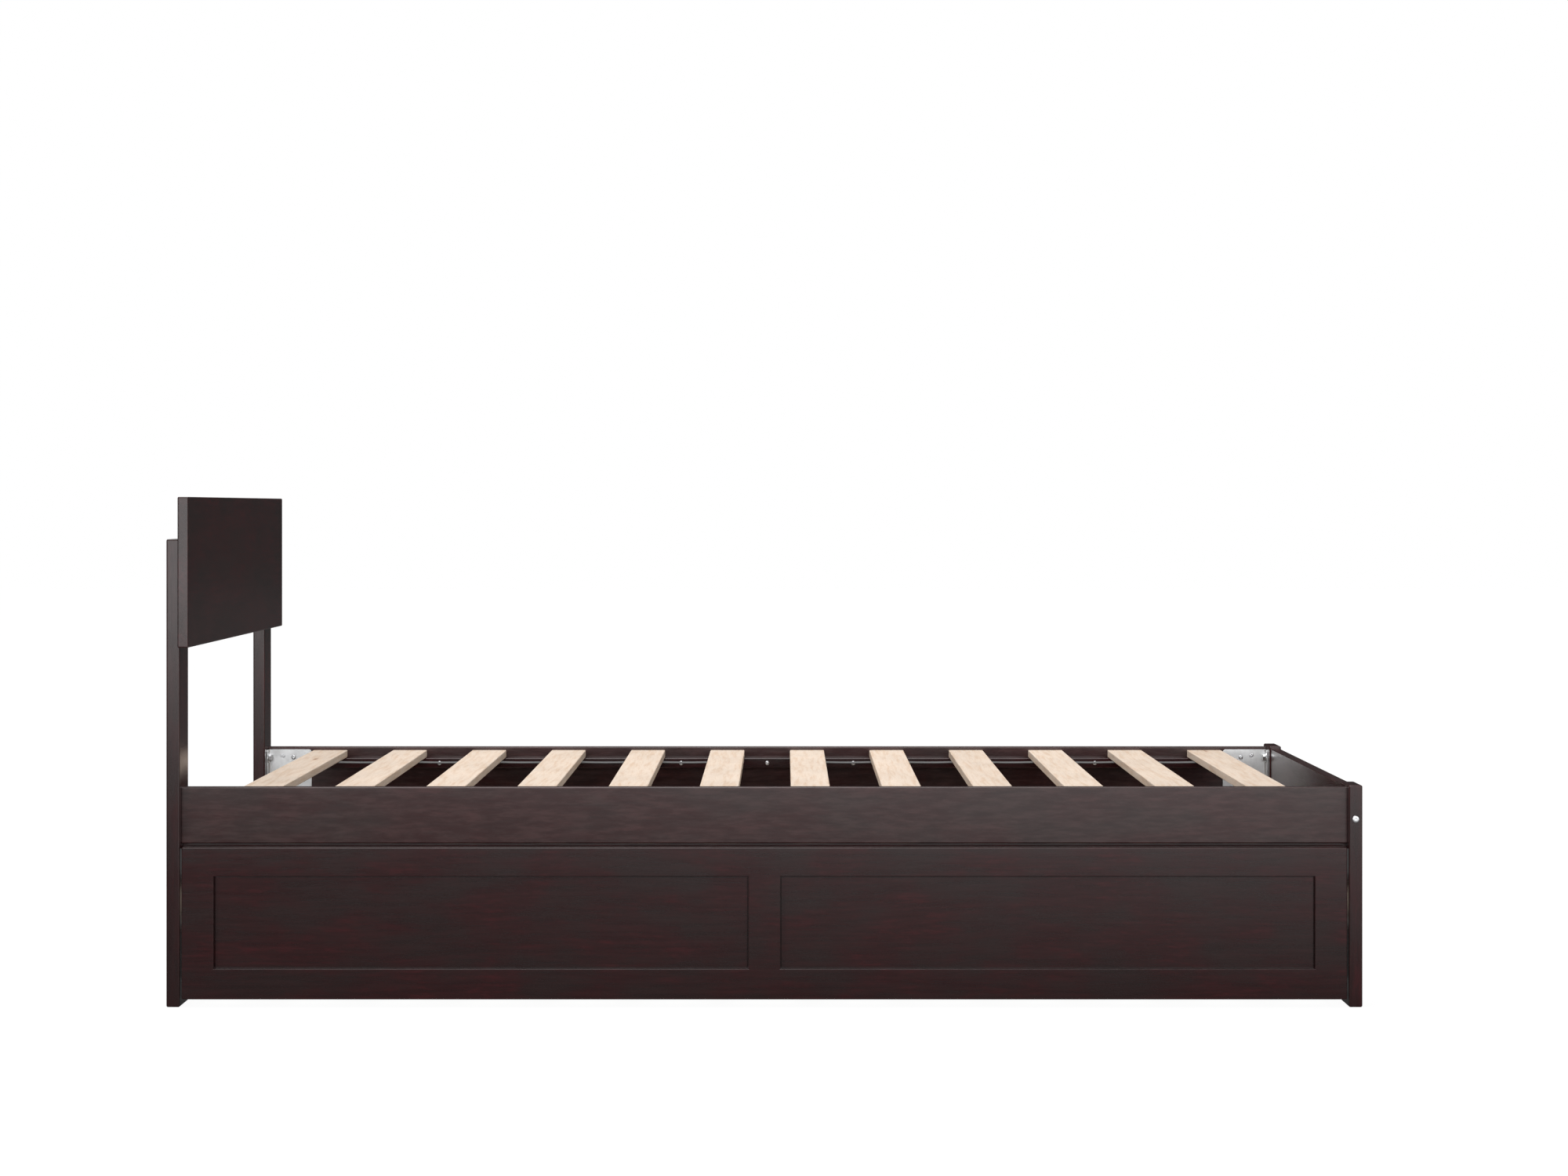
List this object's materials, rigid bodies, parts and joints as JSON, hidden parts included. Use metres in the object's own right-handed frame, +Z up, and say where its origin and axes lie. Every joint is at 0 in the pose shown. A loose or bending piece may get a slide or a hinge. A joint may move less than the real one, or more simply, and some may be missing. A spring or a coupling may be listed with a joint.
{
  "type": "trundle bed",
  "caption": "Low dark-stained platform bed with a plain headboard panel, pale slats and a matching pull-out trundle bed on casters underneath.",
  "frame": {"origin": "on the floor, under the middle of the whole bed's box", "axes": "+Z up, +X from the headboard towards the foot, -Y the side that the trundle pulls out of"},
  "size_m": [2.1076, 1.1088, 0.899],
  "materials": {
    "espresso_wood": "satin dark espresso stain over fine horizontal grain",
    "pale_slat_wood": "raw planed pale pine with faint grain and small knots",
    "grey_webbing": "woven dark grey webbing",
    "zinc_steel": "bright zinc plating, satin",
    "caster_plastic": "moulded black plastic, fine texture",
    "caster_tread": "dull dark grey wheel"
  },
  "bodies": {
    "bed": {"bracket_foot_front": "zinc_steel", "bracket_foot_rear": "zinc_steel", "bracket_head_front": "zinc_steel", "bracket_head_rear": "zinc_steel", "foot_bolt_front": "zinc_steel", "foot_bolt_rear": "zinc_steel", "foot_post_front": "espresso_wood", "foot_post_rear": "espresso_wood", "foot_rail": "espresso_wood", "head_post_front": "espresso_wood", "head_post_rear": "espresso_wood", "headboard_panel": "espresso_wood", "side_rail_front": "espresso_wood", "side_rail_rear": "espresso_wood", "slat_01": "pale_slat_wood", "slat_02": "pale_slat_wood", "slat_03": "pale_slat_wood", "slat_04": "pale_slat_wood", "slat_05": "pale_slat_wood", "slat_06": "pale_slat_wood", "slat_07": "pale_slat_wood", "slat_08": "pale_slat_wood", "slat_09": "pale_slat_wood", "slat_10": "pale_slat_wood", "slat_11": "pale_slat_wood", "slat_12": "pale_slat_wood", "slat_cleat_front": "espresso_wood", "slat_cleat_rear": "espresso_wood", "slat_strap_foot_front": "grey_webbing", "slat_strap_foot_rear": "grey_webbing", "slat_strap_head_front": "grey_webbing", "slat_strap_head_rear": "grey_webbing"},
    "trundle": {"caster_axle_front_foot": "zinc_steel", "caster_axle_front_head": "zinc_steel", "caster_axle_rear_foot": "zinc_steel", "caster_axle_rear_head": "zinc_steel", "caster_housing_front_foot": "caster_plastic", "caster_housing_front_head": "caster_plastic", "caster_housing_rear_foot": "caster_plastic", "caster_housing_rear_head": "caster_plastic", "front_bottom_rail": "espresso_wood", "front_mullion": "espresso_wood", "front_panel_foot": "espresso_wood", "front_panel_head": "espresso_wood", "front_stile_foot": "espresso_wood", "front_stile_head": "espresso_wood", "front_top_rail": "espresso_wood", "trundle_back_board": "espresso_wood", "trundle_cleat_front": "espresso_wood", "trundle_cleat_rear": "espresso_wood", "trundle_end_board_foot": "espresso_wood", "trundle_end_board_head": "espresso_wood", "trundle_front_board": "espresso_wood", "trundle_slat_roll_foot": "pale_slat_wood", "trundle_slat_roll_head": "pale_slat_wood"},
    "wheel_front_foot": {"caster_wheel_front_foot": "caster_tread"},
    "wheel_front_head": {"caster_wheel_front_head": "caster_tread"},
    "wheel_rear_foot": {"caster_wheel_rear_foot": "caster_tread"},
    "wheel_rear_head": {"caster_wheel_rear_head": "caster_tread"}
  },
  "joints": [
    {"name": "trundle_slide", "type": "slide", "parent": "bed", "child": "trundle", "axis": [0, -1, 0], "range_m": [0, 1.03]},
    {"name": "wheel_roll_front_foot", "type": "hinge", "parent": "trundle", "child": "wheel_front_foot", "pos_m": [0.98105, -0.3732, 0.025], "axis": [1, 0, 0], "continuous": true},
    {"name": "wheel_roll_front_head", "type": "hinge", "parent": "trundle", "child": "wheel_front_head", "pos_m": [-0.98105, -0.3732, 0.025], "axis": [1, 0, 0], "continuous": true},
    {"name": "wheel_roll_rear_foot", "type": "hinge", "parent": "trundle", "child": "wheel_rear_foot", "pos_m": [0.98105, 0.362, 0.025], "axis": [1, 0, 0], "continuous": true},
    {"name": "wheel_roll_rear_head", "type": "hinge", "parent": "trundle", "child": "wheel_rear_head", "pos_m": [-0.98105, 0.362, 0.025], "axis": [1, 0, 0], "continuous": true}
  ],
  "couplings": [
    {"joint": "wheel_roll_front_foot", "follows": "trundle_slide", "rad_per_m": 40},
    {"joint": "wheel_roll_front_head", "follows": "trundle_slide", "rad_per_m": 40},
    {"joint": "wheel_roll_rear_foot", "follows": "trundle_slide", "rad_per_m": 40},
    {"joint": "wheel_roll_rear_head", "follows": "trundle_slide", "rad_per_m": 40}
  ]
}
